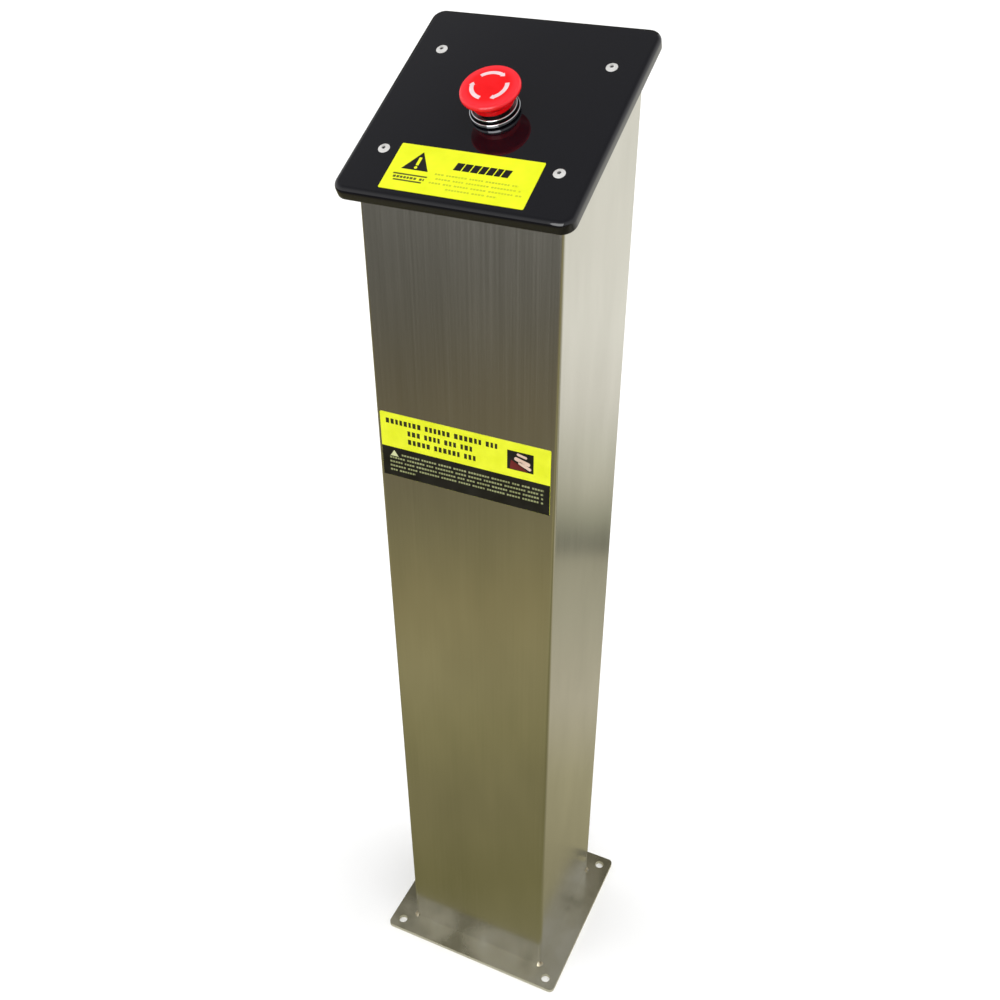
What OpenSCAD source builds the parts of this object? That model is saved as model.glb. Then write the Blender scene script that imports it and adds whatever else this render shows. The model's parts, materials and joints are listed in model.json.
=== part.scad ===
// Emergency stop station: a red mushroom button in a tilted panel on a floor pedestal.
// The origin is on the floor at the centre of the base plate, the front faces -Y.

/* [Column] */
// Width of the column
col_w = 145; // [130:1:160]
// Depth of the column
col_d = 132; // [120:1:145]
// Height of the column at its front face
front_h = 794; // [700:1:900]
// Slope of the panel
panel_tilt = 27; // [24:1:30]
// Thickness of the column's sheet
sheet_t = 1.5; // [1:0.1:2]
// Outer radius of the column's bends
bend_r = 3; // [2.5:0.5:5]

/* [Base plate] */
// Width of the base plate
base_w = 190; // [180:1:220]
// Depth of the base plate
base_d = 176; // [170:1:210]
// Thickness of the base plate
base_t = 4; // [3:0.5:6]
// Spacing of the anchor holes across the width
anchor_x = 166; // [164:1:168]
// Spacing of the anchor holes across the depth
anchor_y = 154; // [152:1:156]
// Diameter of the anchor holes
anchor_d = 9; // [8:0.5:10]
// Diameter of the clear way through the cable bush
cable_d = 16; // [12:1:18]

/* [Panel] */
// Width of the panel
panel_w = 163; // [161:1:168]
// Thickness of the panel
panel_t = 6; // [5.5:0.5:8]
// How far the panel stands in front of the column, along the slope
panel_front = 20; // [14:1:24]
// How far the panel stands behind the column, along the slope
panel_back = 8; // [6:1:14]
// Plan radius of the panel's corners
panel_r = 12; // [8:1:16]
// Radius on the panel's edges
panel_edge_r = 2.2; // [1.6:0.2:2.6]
// Distance of the button from the column's front edge, along the slope
button_v = 66; // [62:1:72]
// Spacing of the panel screws across the width
screw_u = 122; // [118:1:124]
// First row of panel screws, from the column's front edge along the slope
screw_v0 = 22; // [18:1:26]
// Second row of panel screws
screw_v1 = 116; // [112:1:120]

/* [Button] */
// Diameter of the mushroom head
head_d = 40; // [38:1:42]
// Height of the head's rim over the panel
rim_h = 18; // [17:0.5:20]
// Height of the head's crown over the panel
crown_h = 23.5; // [23:0.5:26]
// How far the button goes in
press_travel = 5; // [4:0.5:5]

/* [Hidden] */
$fn = 64;
eps = 0.01;

// Column: the top ends under the gasket, the flanges turn in along the slope
gasket_t = 1;
flange_in = 24;
slope_len = col_d / cos(panel_tilt);
top_cut = col_w * 3;
weld_leg = 2.5;

// Panel, as a plate along the slope
panel_len = panel_front + slope_len + panel_back;
panel_mid_v = (slope_len + panel_back - panel_front) / 2;
operator_hole_r = 11.15;
key_w = 3;
key_r = 12;

// Labels
label_t = 0.3;
panel_label_w = 100;
panel_label_h = 39;
panel_label_v = -10.5;
column_label_w = 137;
column_label_h = 54.5;
column_label_z = 569.5;

// Panel screws: countersunk, with nuts welded under the flanges
screw_r = 2;
screw_head_r = 4.15;
screw_dome = 1;
screw_len = 16;
nut_flats = 7;
nut_h = 3.2;

// Operator, measured from the panel's top face along the button's axis
seal_t = 1;
bezel_r = 15.5;
collar_r = 12.7;
collar_in_r = 11.1;
collar_crest = 5.4;
barrel_r = 11;
barrel_in_r = 8.6;
barrel_floor = -34;
barrel_lip_t = 2;
flange_r = 14;
flange_top = 2;
cup_r = 10.4;
cup_floor = -0.2;
seal_r = 9.4;
seal_low = -2.2;
washer_t = 1.2;
lock_nut_t = 5;
clamp_face = -panel_t;

// Moving parts at rest
skirt_r = 10;
skirt_bottom = 5;
stem_r = 5;
neck_r = 4;
sleeve_r = 8.5;
sleeve_top = -8;
sleeve_bottom = -20;
run_gap = 0.08;
rod_r = 3.5;
plate_top = -36.5;
plate_t = 2;

// Contact blocks hang from the collar, one each side of the axis
collar_top = -24;
collar_t = 8;
cheek_t = 2;
block_half = 19.8;
block_top = -44.5;
block_h = 32;
block_w = 10;
block_u = 10;
block_wall = 1.2;
carriage_top = plate_top - plate_t - 0.1;
carriage_bottom = block_top - 17.5;
bridge_t = 0.8;
bridge_w = block_top - 10;

// Places its children in the panel's plane: u to the right, v up the slope, w outwards,
// from the column's front top edge on the panel's underside
module on_slope() {
  translate([0, -col_d / 2, front_h]) rotate([panel_tilt, 0, 0]) children();
}

// The same, from the panel's top face on the button's axis
module on_axis() {
  on_slope() translate([0, button_v, panel_t]) children();
}

// A ring or sleeve between two radii and two heights
module tube(r_out, r_in, low, high) {
  translate([0, 0, low]) difference() {
    cylinder(h = high - low, r = r_out);
    translate([0, 0, -1]) cylinder(h = high - low + 2, r = r_in);
  }
}

// A flat outline with rounded corners
module rounded(w, d, r) {
  square([w - 2 * r, d], center = true);
  square([w, d - 2 * r], center = true);
  for (sx = [-1, 1], sy = [-1, 1])
    translate([sx * (w / 2 - r), sy * (d / 2 - r)]) circle(r = r);
}

// Places its children at each panel screw, on the panel's underside
module at_screws() {
  for (u = [-screw_u / 2, screw_u / 2], v = [screw_v0, screw_v1])
    translate([u, v, 0]) children();
}

// Places its children at each corner of a rectangle
module at_corners(w, d) {
  for (sx = [-1, 1], sy = [-1, 1]) translate([sx * w / 2, sy * d / 2, 0]) children();
}

// A round wire wound as a coil about Z, with flat closing turns left out
module coil(mean_r, wire_r, low, high, turns) {
  sides = 6;
  per_turn = 16;
  rings = turns * per_turn;
  rise = (high - low - 2 * wire_r) / rings;
  function ring_point(i, k) =
    let (turn = 360 * i / per_turn, round = 360 * k / sides, r = mean_r + wire_r * cos(round))
    [r * cos(turn), r * sin(turn), low + wire_r + rise * i + wire_r * sin(round)];
  points = [for (i = [0:rings], k = [0:sides - 1]) ring_point(i, k)];
  walls = [
    for (i = [0:rings - 1], k = [0:sides - 1])
      let (next = (k + 1) % sides)
      [i * sides + k, i * sides + next, (i + 1) * sides + next, (i + 1) * sides + k]
  ];
  start = [[for (k = [sides - 1:-1:0]) k]];
  end = [[for (k = [0:sides - 1]) rings * sides + k]];
  turned = [for (face = concat(walls, start, end)) [for (p = [len(face) - 1:-1:0]) face[p]]];
  polyhedron(points = points, faces = turned);
}

// ---- Pedestal ----

module base_plate() {
  color("darkkhaki") difference() {
    linear_extrude(base_t) rounded(base_w, base_d, 5);
    at_corners(anchor_x, anchor_y) translate([0, 0, -1]) cylinder(h = base_t + 2, d = anchor_d);
    translate([0, 0, -1]) cylinder(h = base_t + 2, d = cable_d + 5);
  }
}

// Everything over the column's sloped top, to be cut away
module over_top(w) {
  on_slope() translate([-top_cut / 2, -top_cut / 4, w]) cube(top_cut);
}

module column() {
  color("lightgray") {
    difference() {
      translate([0, 0, base_t]) linear_extrude(front_h + col_d) difference() {
        rounded(col_w, col_d, bend_r);
        rounded(col_w - 2 * sheet_t, col_d - 2 * sheet_t, bend_r - sheet_t);
      }
      over_top(-gasket_t);
    }
    difference() {
      intersection() {
        on_slope() difference() {
          translate([-col_w / 2, 0, -gasket_t - sheet_t]) cube([col_w, slope_len, sheet_t]);
          translate([-col_w / 2 + flange_in, -1, -gasket_t - 2 * sheet_t])
            cube([col_w - 2 * flange_in, slope_len + 2, 3 * sheet_t]);
        }
        linear_extrude(front_h + col_d) rounded(col_w, col_d, bend_r);
      }
      on_slope() at_screws() translate([0, 0, -10]) cylinder(h = 12, r = screw_r + 0.25);
    }
  }
}

// A thin weld bead up the middle of the back, where the folded sheet meets itself
module seam_weld() {
  bead_w = 3;
  bead_h = 0.6;
  bead_r = (bead_w * bead_w / 4 + bead_h * bead_h) / (2 * bead_h);
  top = front_h + col_d * tan(panel_tilt) - gasket_t / cos(panel_tilt) - 1;
  color("silver") intersection() {
    translate([-bead_w / 2, col_d / 2, base_t]) cube([bead_w, bead_h, top - base_t]);
    translate([0, col_d / 2 + bead_h - bead_r, 0]) cylinder(h = top, r = bead_r);
  }
}

// Weld beads round the four corners of the column's foot
module foot_welds() {
  color("dimgray") for (turn = [0:90:270])
    let (w = (turn % 180 == 0) ? col_w : col_d, d = (turn % 180 == 0) ? col_d : col_w)
      rotate([0, 0, turn]) translate([w / 2 - bend_r, d / 2 - bend_r, base_t])
        rotate_extrude(angle = 90)
          polygon([[bend_r, 0], [bend_r + weld_leg, 0], [bend_r, weld_leg]]);
}

module weld_nuts() {
  color("silver") on_slope() at_screws()
    translate([0, 0, -gasket_t - sheet_t - nut_h]) difference() {
      cylinder(h = nut_h, d = nut_flats / cos(30), $fn = 6);
      translate([0, 0, -1]) cylinder(h = nut_h + 2, r = screw_r + 0.05);
    }
}

module cable_bush() {
  lip_t = 2;
  color("black") difference() {
    union() {
      translate([0, 0, 0.2]) cylinder(h = base_t, d = cable_d + 4.9);
      translate([0, 0, base_t]) cylinder(h = lip_t, d1 = cable_d + 12, d2 = cable_d + 9);
    }
    translate([0, 0, -1]) cylinder(h = base_t + lip_t + 2, d = cable_d);
  }
}

earth_at = [-45, 40, base_t];

module earth_stud() {
  color("silver") translate(earth_at) {
    cylinder(h = 1.2, r = 4);
    cylinder(h = 18, r = 2.5);
  }
}

module earth_washer() {
  color("gold") translate(earth_at + [0, 0, 1.2]) tube(5, 2.6, 0, 1);
}

module earth_nut() {
  color("gold") translate(earth_at + [0, 0, 2.2]) difference() {
    cylinder(h = 4, d = 8 / cos(30), $fn = 6);
    translate([0, 0, -1]) cylinder(h = 6, r = 2.55);
  }
}

// ---- Panel ----

module panel_gasket() {
  color("dimgray") on_slope() difference() {
    translate([0, slope_len / 2, -gasket_t]) linear_extrude(gasket_t) difference() {
      rounded(col_w - 1, slope_len - 2, bend_r);
      rounded(col_w - 1 - 2 * flange_in, slope_len - 2 - 2 * 12, bend_r);
    }
    at_screws() translate([0, 0, -2]) cylinder(h = 4, r = screw_r + 0.3);
  }
}

// One corner of the panel: a disc with rounded top and bottom edges
module panel_corner() {
  rotate_extrude($fn = 64) union() {
    square([panel_r - panel_edge_r, panel_t]);
    translate([0, panel_edge_r]) square([panel_r, panel_t - 2 * panel_edge_r]);
    for (h = [panel_edge_r, panel_t - panel_edge_r])
      translate([panel_r - panel_edge_r, h]) circle(r = panel_edge_r, $fn = 24);
  }
}

module panel() {
  color("black") on_slope() difference() {
    hull() translate([0, panel_mid_v, 0])
      at_corners(panel_w - 2 * panel_r, panel_len - 2 * panel_r) panel_corner();
    translate([0, button_v, -1]) cylinder(h = panel_t + 2, r = operator_hole_r);
    translate([-key_w / 2 - 0.1, button_v, -1]) cube([key_w + 0.2, key_r + 0.2, panel_t + 2]);
    at_screws() {
      translate([0, 0, -1]) cylinder(h = panel_t + 2, r = screw_r + 0.25);
      translate([0, 0, panel_t - screw_head_r])
        cylinder(h = screw_head_r + eps, r1 = 0, r2 = screw_head_r + eps);
    }
  }
}

// Raised countersunk screws with a hexagon socket
module panel_screws() {
  socket_flats = 2.5;
  seat_gap = 0.05;
  edge_r = screw_head_r - seat_gap;
  crest_r = (edge_r * edge_r + screw_dome * screw_dome) / (2 * screw_dome);
  color("gainsboro") on_slope() at_screws() translate([0, 0, panel_t - seat_gap]) difference() {
    union() {
      translate([0, 0, seat_gap - screw_len]) cylinder(h = screw_len - 1, r = screw_r);
      translate([0, 0, -edge_r]) cylinder(h = edge_r, r1 = 0, r2 = edge_r);
      intersection() {
        translate([0, 0, screw_dome - crest_r]) sphere(r = crest_r, $fn = 96);
        cylinder(h = 2 * screw_dome, r = screw_head_r);
      }
    }
    translate([0, 0, -1]) cylinder(h = 3, d = socket_flats / cos(30), $fn = 6);
  }
}

module panel_label() {
  color("yellow") on_slope()
    translate([0, panel_label_v + panel_label_h / 2, panel_t])
      linear_extrude(label_t) rounded(panel_label_w, panel_label_h, 1);
}

module column_label() {
  color("gold") translate([-0.6, -col_d / 2, column_label_z + column_label_h / 2])
    rotate([90, 0, 0]) linear_extrude(label_t) rounded(column_label_w, column_label_h, 1);
}

// ---- Operator, fixed parts ----

module operator_seal() {
  color("black") on_axis() tube(bezel_r - 0.4, operator_hole_r, 0, seal_t);
}

// Chromed ring in two steps: a low rounded rim, a groove and a raised collar round the skirt
module bezel() {
  rim_edge = 0.85;
  rim_crest = 3.5;
  groove_floor = 2.7;
  crest_r = (collar_r - collar_in_r) / 2;
  color("gainsboro") on_axis() rotate_extrude() {
    translate([flange_r + 0.02, seal_t]) square([bezel_r - flange_r - 0.02, rim_crest - rim_edge - seal_t]);
    translate([collar_in_r, flange_top]) square([bezel_r - collar_in_r, groove_floor - flange_top]);
    translate([bezel_r - rim_edge, rim_crest - rim_edge]) circle(r = rim_edge);
    translate([collar_in_r, flange_top]) square([2 * crest_r, collar_crest - crest_r - flange_top]);
    translate([collar_in_r + crest_r, collar_crest - crest_r]) circle(r = crest_r);
  }
}

// Barrel: a flange under the bezel, a cup for the skirt, a key for the panel's notch,
// a track for the latch balls and a floor that carries the return spring
module operator_barrel() {
  ball_track_r = 9.3;
  key_depth = 4;
  color("silver") on_axis() difference() {
    union() {
      translate([0, 0, barrel_floor]) cylinder(h = seal_t - barrel_floor, r = barrel_r);
      translate([0, 0, seal_t]) cylinder(h = flange_top - seal_t, r = flange_r);
      translate([-key_w / 2, 0, -key_depth]) cube([key_w, key_r, key_depth - eps]);
    }
    translate([0, 0, barrel_floor - 1]) cylinder(h = 10, r = rod_r + 1);
    translate([0, 0, barrel_floor + barrel_lip_t]) cylinder(h = 50, r = barrel_in_r);
    translate([0, 0, -21.5]) cylinder(h = 10.5, r = ball_track_r);
    translate([0, 0, seal_low]) cylinder(h = 5, r = seal_r);
    translate([0, 0, cup_floor]) cylinder(h = 5, r = cup_r);
  }
}

module shaft_seal() {
  color("black") on_axis() tube(seal_r, stem_r + run_gap, seal_low, cup_floor - 0.1);
}

// Toothed washer with a tab that keeps the operator from turning
module anti_turn_washer() {
  color("silver") on_axis() difference() {
    translate([0, 0, clamp_face - washer_t]) union() {
      cylinder(h = washer_t, r = 15);
      translate([-1.5, 0, 0]) cube([3, 17, washer_t]);
    }
    translate([0, 0, clamp_face - 2]) cylinder(h = 3, r = barrel_r + 0.05);
  }
}

// Hexagon nut with its corners turned down at both faces
module lock_nut() {
  flats = 27;
  corner_r = flats / 2 / cos(30);
  turned = 0.8;
  color("dimgray") on_axis() translate([0, 0, clamp_face - washer_t - lock_nut_t]) difference() {
    intersection() {
      cylinder(h = lock_nut_t, r = corner_r, $fn = 6);
      rotate_extrude() polygon([
        [0, 0], [corner_r - 2 * turned, 0], [corner_r, turned],
        [corner_r, lock_nut_t - turned], [corner_r - 2 * turned, lock_nut_t], [0, lock_nut_t]
      ]);
    }
    translate([0, 0, -1]) cylinder(h = lock_nut_t + 2, r = barrel_r);
  }
}

// Collar clamped on the barrel, with two cheeks that hold the contact blocks
module mounting_collar() {
  low = collar_top - collar_t;
  cheek_low = block_top - 8;
  color("slategray") on_axis() difference() {
    union() {
      translate([-15, -block_half - cheek_t, low]) cube([30, 2 * (block_half + cheek_t), collar_t]);
      for (side = [-1, 1])
        translate([-15, side > 0 ? block_half : -block_half - cheek_t, cheek_low])
          cube([30, cheek_t, low - cheek_low + 1]);
    }
    translate([0, 0, low - 1]) cylinder(h = collar_t + 2, r = barrel_r + 0.05);
    for (side = [-1, 1]) translate([-16, side * 14, low + collar_t / 2])
      rotate([0, 90, 0]) cylinder(h = 32, r = 1.6);
    for (u = [-block_u, block_u]) translate([u, -30, cheek_low + 4])
      rotate([-90, 0, 0]) cylinder(h = 60, r = 1.3);
  }
}

module collar_screws() {
  mid = collar_top - collar_t / 2;
  color("silver") on_axis() for (side = [-1, 1])
    translate([-15, side * 14, mid]) rotate([0, 90, 0]) {
      cylinder(h = 30, r = 1.5);
      translate([0, 0, -1.8]) cylinder(h = 1.8, r = 2.8);
    }
}

module block_screws() {
  color("silver") on_axis() for (u = [-block_u, block_u], side = [-1, 1])
    translate([u, side * (block_half + cheek_t), block_top - 4]) rotate([side * 90, 0, 0]) {
      translate([0, 0, -1.2]) cylinder(h = 1.2, r = 2.2);
      cylinder(h = cheek_t + 0.6, r = 1.25);
    }
}

// ---- Operator, moving parts ----

// Head: a dome that runs tangent into a rounded rim, over a cone that narrows to the skirt
rim_r = 3.4;
flare_at = skirt_bottom + press_travel + 0.5;
head_r = head_d / 2;
rim_x = head_r - rim_r;
crown_rise = crown_h - rim_h;
dome_r = (rim_x * rim_x + crown_rise * crown_rise - rim_r * rim_r) / (2 * (crown_rise - rim_r));
dome_edge = rim_x * dome_r / (dome_r - rim_r);

module head_outline() {
  intersection() {
    translate([0, crown_h - dome_r]) circle(r = dome_r, $fn = 200);
    translate([0, rim_h]) square([dome_edge, crown_h]);
  }
  translate([rim_x, rim_h]) circle(r = rim_r);
  polygon([
    [0, skirt_bottom], [skirt_r, skirt_bottom], [skirt_r + 0.7, flare_at - 0.5],
    [skirt_r + 1.1, flare_at + 0.2],
    [rim_x + rim_r * cos(30), rim_h - rim_r * sin(30)], [rim_x, rim_h + 0.5], [0, rim_h + 0.5]
  ]);
}

// One arc arrow, flat: a band of a ring with a point at its clockwise end
module arrow_outline() {
  ring_r = 11.6;
  ring_t = 2.3;
  sweep = 78;
  point_turn = 15;
  far = 60;
  intersection() {
    difference() {
      circle(r = ring_r + ring_t / 2, $fn = 96);
      circle(r = ring_r - ring_t / 2, $fn = 96);
    }
    polygon([[0, 0], [far, 0], [far, far], [far * cos(sweep), far * sin(sweep)]]);
  }
  polygon([
    [ring_r - ring_t, 0.05], [ring_r + ring_t, 0.05],
    [ring_r * cos(point_turn), -ring_r * sin(point_turn)]
  ]);
}

module arrow_solid() {
  for (turn = [0:120:240]) rotate([0, 0, turn + 66])
    translate([0, 0, rim_h]) linear_extrude(crown_h) arrow_outline();
}

module inlay_shell() {
  depth = 0.5;
  difference() {
    translate([0, 0, crown_h - dome_r]) sphere(r = dome_r + 0.05, $fn = 128);
    translate([0, 0, crown_h - dome_r]) sphere(r = dome_r - depth, $fn = 128);
  }
}

module button_head() {
  boss_r = 6.4;
  inner_r = skirt_r - 1.4;
  color("red") on_axis() difference() {
    rotate_extrude($fn = 96) intersection() {
      head_outline();
      square(60);
    }
    rotate_extrude() polygon([
      [boss_r, skirt_bottom - 1], [inner_r, skirt_bottom - 1], [inner_r, flare_at - 1],
      [rim_x - 2, rim_h - 1], [boss_r, rim_h]
    ]);
    translate([0, 0, skirt_bottom - 1]) cylinder(h = rim_h - skirt_bottom - 1, r = stem_r);
    intersection() {
      inlay_shell();
      arrow_solid();
    }
  }
}

module arrow_inlays() {
  color("white") on_axis() intersection() {
    inlay_shell();
    arrow_solid();
  }
}

module stem() {
  color("silver") on_axis() {
    translate([0, 0, sleeve_top + 0.1]) cylinder(h = rim_h - 2 - sleeve_top - 0.1, r = stem_r);
    translate([0, 0, sleeve_bottom + 1.5]) difference() {
      cylinder(h = sleeve_top - sleeve_bottom, r = neck_r - run_gap);
      translate([0, 0, 1]) tube(neck_r + 1, 3, 0, 0.8);
    }
  }
}

module retaining_clip() {
  color("silver") on_axis() tube(5.6, 3, sleeve_bottom + 2.5, sleeve_bottom + 3.3);
}

module torsion_spring() {
  color("silver") on_axis() coil(7.5, 0.45, skirt_bottom + 0.6, flare_at + 1.5, 4);
}

module latch_sleeve() {
  color("ivory") on_axis() difference() {
    tube(sleeve_r, neck_r, sleeve_bottom, sleeve_top);
    translate([0, 0, sleeve_bottom - 1]) cylinder(h = 5.4, r = 6);
    for (turn = [0:120:240]) rotate([0, 0, turn])
      translate([neck_r + 1, 0, -13.5]) rotate([0, 90, 0]) cylinder(h = 9, r = 1.6);
  }
}

module latch_balls() {
  color("gainsboro") on_axis() for (turn = [0:120:240]) rotate([0, 0, turn])
    translate([7.6, 0, -13.5]) sphere(r = 1.5, $fn = 32);
}

// The rod's cup closes the sleeve from below
module push_rod() {
  color("ivory") on_axis() {
    translate([0, 0, plate_top]) cylinder(h = sleeve_bottom - plate_top, r = rod_r);
    translate([0, 0, sleeve_bottom - 1]) cylinder(h = 1, r = sleeve_r);
    translate([0, 0, sleeve_bottom]) cylinder(h = 1, r = 5.9);
  }
}

module pusher_plate() {
  color("ivory") on_axis() translate([-14, -5, plate_top - plate_t]) cube([28, 10, plate_t]);
}

module return_spring() {
  color("silver") on_axis()
    coil(7.3, 0.45, barrel_floor + barrel_lip_t + 0.1, sleeve_bottom - 1.1, 6);
}

// ---- Contact blocks ----

// Box between two corners
module box_between(a, b) {
  translate(a) cube(b - a);
}

// Side view of a housing: lowered shoulders over the terminals and a chamfered foot
module housing_outline(low) {
  side = block_half - 0.05;
  shoulder = 1.2;
  shoulder_at = 9.5;
  foot = 4;
  polygon([
    [-side, low + foot], [-side + foot, low], [side - foot, low], [side, low + foot],
    [side, block_top - shoulder], [shoulder_at, block_top - shoulder], [shoulder_at - shoulder, block_top],
    [shoulder - shoulder_at, block_top], [-shoulder_at, block_top - shoulder], [-side, block_top - shoulder]
  ]);
}

module block_housing(u) {
  low = block_top - block_h;
  half = block_w / 2 - 0.05;
  on_axis() translate([u, 0, 0]) difference() {
    translate([-half, 0, 0]) rotate([90, 0, 90]) linear_extrude(2 * half) housing_outline(low);
    for (part = [
      [block_half - 1.4, low + 6, block_top - 2 * block_wall],
      [block_half - 4.4, low + block_wall, block_top - 2 * block_wall],
      [7.5, low + block_wall, block_top - block_wall]
    ])
      box_between([-half + block_wall, -part[0], part[1]], [half - block_wall, part[0], part[2]]);
    box_between([-2.6, -4.1, block_top - 3], [2.6, 4.1, block_top + 1]);
    for (side = [-1, 1]) {
      translate([0, side * 14.5, block_top - 3]) cylinder(h = 5, r = 2.5);
      box_between([-2.5, side > 0 ? 15 : -25, block_top - 16], [2.5, side > 0 ? 25 : -15, block_top - 7]);
    }
    for (side = [-1, 1]) translate([0, side * 21, block_top - 4])
      rotate([side * 90, 0, 0]) cylinder(h = 4, r = 1.25);
  }
}

module carriage(u) {
  on_axis() translate([u, 0, 0]) difference() {
    box_between([-2.5, -4, carriage_bottom], [2.5, 4, carriage_top]);
    box_between([-1.7, -5, carriage_bottom + 3], [1.7, 5, bridge_w + 3]);
  }
}

module bridge(u) {
  on_axis() translate([u, 0, 0])
    box_between([-1.6, -11, bridge_w], [1.6, 11, bridge_w + bridge_t]);
}

// A pair of fixed contacts: a strip at the bridge, a riser and a tab under the screw
module contacts(u, level) {
  strip_t = 0.8;
  tab = block_top - 4;
  on_axis() translate([u, 0, 0]) for (side = [0, 1]) mirror([0, side, 0]) difference() {
    union() {
      box_between([-1.6, 6, level], [1.6, 18, level + strip_t]);
      box_between([-1.6, 17.2, min(level, tab)], [1.6, 18, tab]);
      box_between([-2.6, 11.5, tab - strip_t], [2.6, 18, tab]);
    }
    translate([0, 14.5, tab - 2]) cylinder(h = 3, r = 1.6);
  }
}

module block_spring(u) {
  on_axis() translate([u, 0, 0])
    coil(1.9, 0.3, block_top - block_h + block_wall + 0.05, carriage_bottom - 0.05, 6);
}

module nc_housing() { color("dimgray") block_housing(-block_u); }
module nc_carriage() { color("firebrick") carriage(-block_u); }
module nc_bridge() { color("goldenrod") bridge(-block_u); }
module nc_contacts() { color("goldenrod") contacts(-block_u, bridge_w + bridge_t + 0.05); }
module nc_spring() { color("silver") block_spring(-block_u); }
module no_housing() { color("dimgray") block_housing(block_u); }
module no_carriage() { color("seagreen") carriage(block_u); }
module no_bridge() { color("goldenrod") bridge(block_u); }
module no_contacts() { color("goldenrod") contacts(block_u, bridge_w - press_travel - 0.9); }
module no_spring() { color("silver") block_spring(block_u); }

module terminal_screws() {
  color("silver") on_axis() for (u = [-block_u, block_u], side = [-1, 1])
    translate([u, side * 14.5, block_top - 4]) {
      cylinder(h = 1.6, r = 2.3);
      translate([0, 0, -4]) cylinder(h = 4, r = 1.5);
    }
}

base_plate();
column();
seam_weld();
foot_welds();
weld_nuts();
panel_gasket();
panel();
panel_screws();
panel_label();
column_label();
cable_bush();
earth_stud();
earth_washer();
earth_nut();
operator_seal();
bezel();
operator_barrel();
shaft_seal();
anti_turn_washer();
lock_nut();
mounting_collar();
collar_screws();
button_head();
arrow_inlays();
stem();
retaining_clip();
torsion_spring();
latch_sleeve();
latch_balls();
push_rod();
pusher_plate();
return_spring();
nc_housing();
nc_carriage();
nc_bridge();
nc_contacts();
nc_spring();
no_housing();
no_carriage();
no_bridge();
no_contacts();
no_spring();
terminal_screws();
block_screws();
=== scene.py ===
"""Looks of the emergency stop station: materials, printed labels, studio and camera."""
import json
import math

import bmesh
import bpy
import numpy as np
from mathutils import Matrix, Vector


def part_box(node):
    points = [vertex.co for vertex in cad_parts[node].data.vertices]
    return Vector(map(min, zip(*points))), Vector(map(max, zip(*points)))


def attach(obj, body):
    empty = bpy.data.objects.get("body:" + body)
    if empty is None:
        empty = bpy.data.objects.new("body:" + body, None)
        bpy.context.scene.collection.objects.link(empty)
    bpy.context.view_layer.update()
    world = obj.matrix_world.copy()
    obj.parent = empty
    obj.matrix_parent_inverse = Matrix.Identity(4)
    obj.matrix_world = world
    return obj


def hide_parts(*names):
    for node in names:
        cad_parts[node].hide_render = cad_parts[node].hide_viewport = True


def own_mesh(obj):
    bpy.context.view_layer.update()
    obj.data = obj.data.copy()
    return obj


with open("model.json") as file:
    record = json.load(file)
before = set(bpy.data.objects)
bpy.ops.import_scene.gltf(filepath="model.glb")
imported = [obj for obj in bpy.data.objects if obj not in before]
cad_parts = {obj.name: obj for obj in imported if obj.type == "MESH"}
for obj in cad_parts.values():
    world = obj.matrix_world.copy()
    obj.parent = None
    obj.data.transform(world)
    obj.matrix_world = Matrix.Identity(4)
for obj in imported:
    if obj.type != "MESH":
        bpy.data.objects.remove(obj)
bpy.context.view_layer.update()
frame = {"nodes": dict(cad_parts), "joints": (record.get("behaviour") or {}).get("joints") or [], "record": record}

MM = 0.001
NODES = frame["nodes"]
JOINTS = {joint["name"]: joint for joint in frame["joints"]}


# ---- The panel's plane: u to the right, v up the slope, w outwards, from the button's axis ----

PANEL_OUT = -Vector(JOINTS["button_press"]["axis"])
PANEL_RIGHT = Vector((1, 0, 0))
PANEL_UP = PANEL_OUT.cross(PANEL_RIGHT)
BUTTON_FOOT = Vector(JOINTS["twist_release"]["pos_m"])


def on_panel(points):
    """Turns rows of (u, v, w) into rows of (x, y, z): foot + u right + v up + w out."""
    points = np.asarray(points, float)
    axes = np.array([PANEL_RIGHT, PANEL_UP, PANEL_OUT])
    return np.array(BUTTON_FOOT) + points @ axes


# ---- Small helpers ----

def linear(hex_code):
    """An sRGB hex colour as linear RGBA: c/12.92 below 0.04045, else ((c+0.055)/1.055)^2.4."""
    parts = [int(hex_code[i:i + 2], 16) / 255 for i in (1, 3, 5)]
    return [c / 12.92 if c <= 0.04045 else ((c + 0.055) / 1.055) ** 2.4 for c in parts] + [1.0]


def add(tree, kind, inputs=None, stops=None, **settings):
    """Adds a node. settings are its properties, inputs are links or values, stops a ramp's colours."""
    made = tree.nodes.new(kind)
    for name, value in settings.items():
        setattr(made, name, value)
    for name, value in (inputs or {}).items():
        socket = made.inputs[name]
        if isinstance(value, bpy.types.NodeSocket):
            tree.links.new(value, socket)
        else:
            socket.default_value = value
    if stops:
        ramp = made.color_ramp.elements
        while len(ramp) < len(stops):
            ramp.new(0.5)
        for element, (place, colour) in zip(ramp, stops):
            element.position = place
            element.color = colour
    return made


def grey(value):
    """A ramp colour that carries one plain number."""
    return (value, value, value, 1)


def new_material(name, **constants):
    """An empty material with its shader, the shader's constants set on its own sockets."""
    material = bpy.data.materials.new(name)
    material.use_nodes = True
    tree = material.node_tree
    tree.nodes.clear()
    shader = add(tree, "ShaderNodeBsdfPrincipled")
    for socket, value in constants.items():
        shader.inputs[socket.replace("_", " ")].default_value = value
    out = add(tree, "ShaderNodeOutputMaterial")
    tree.links.new(shader.outputs[0], out.inputs[0])
    return material, tree, shader


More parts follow.
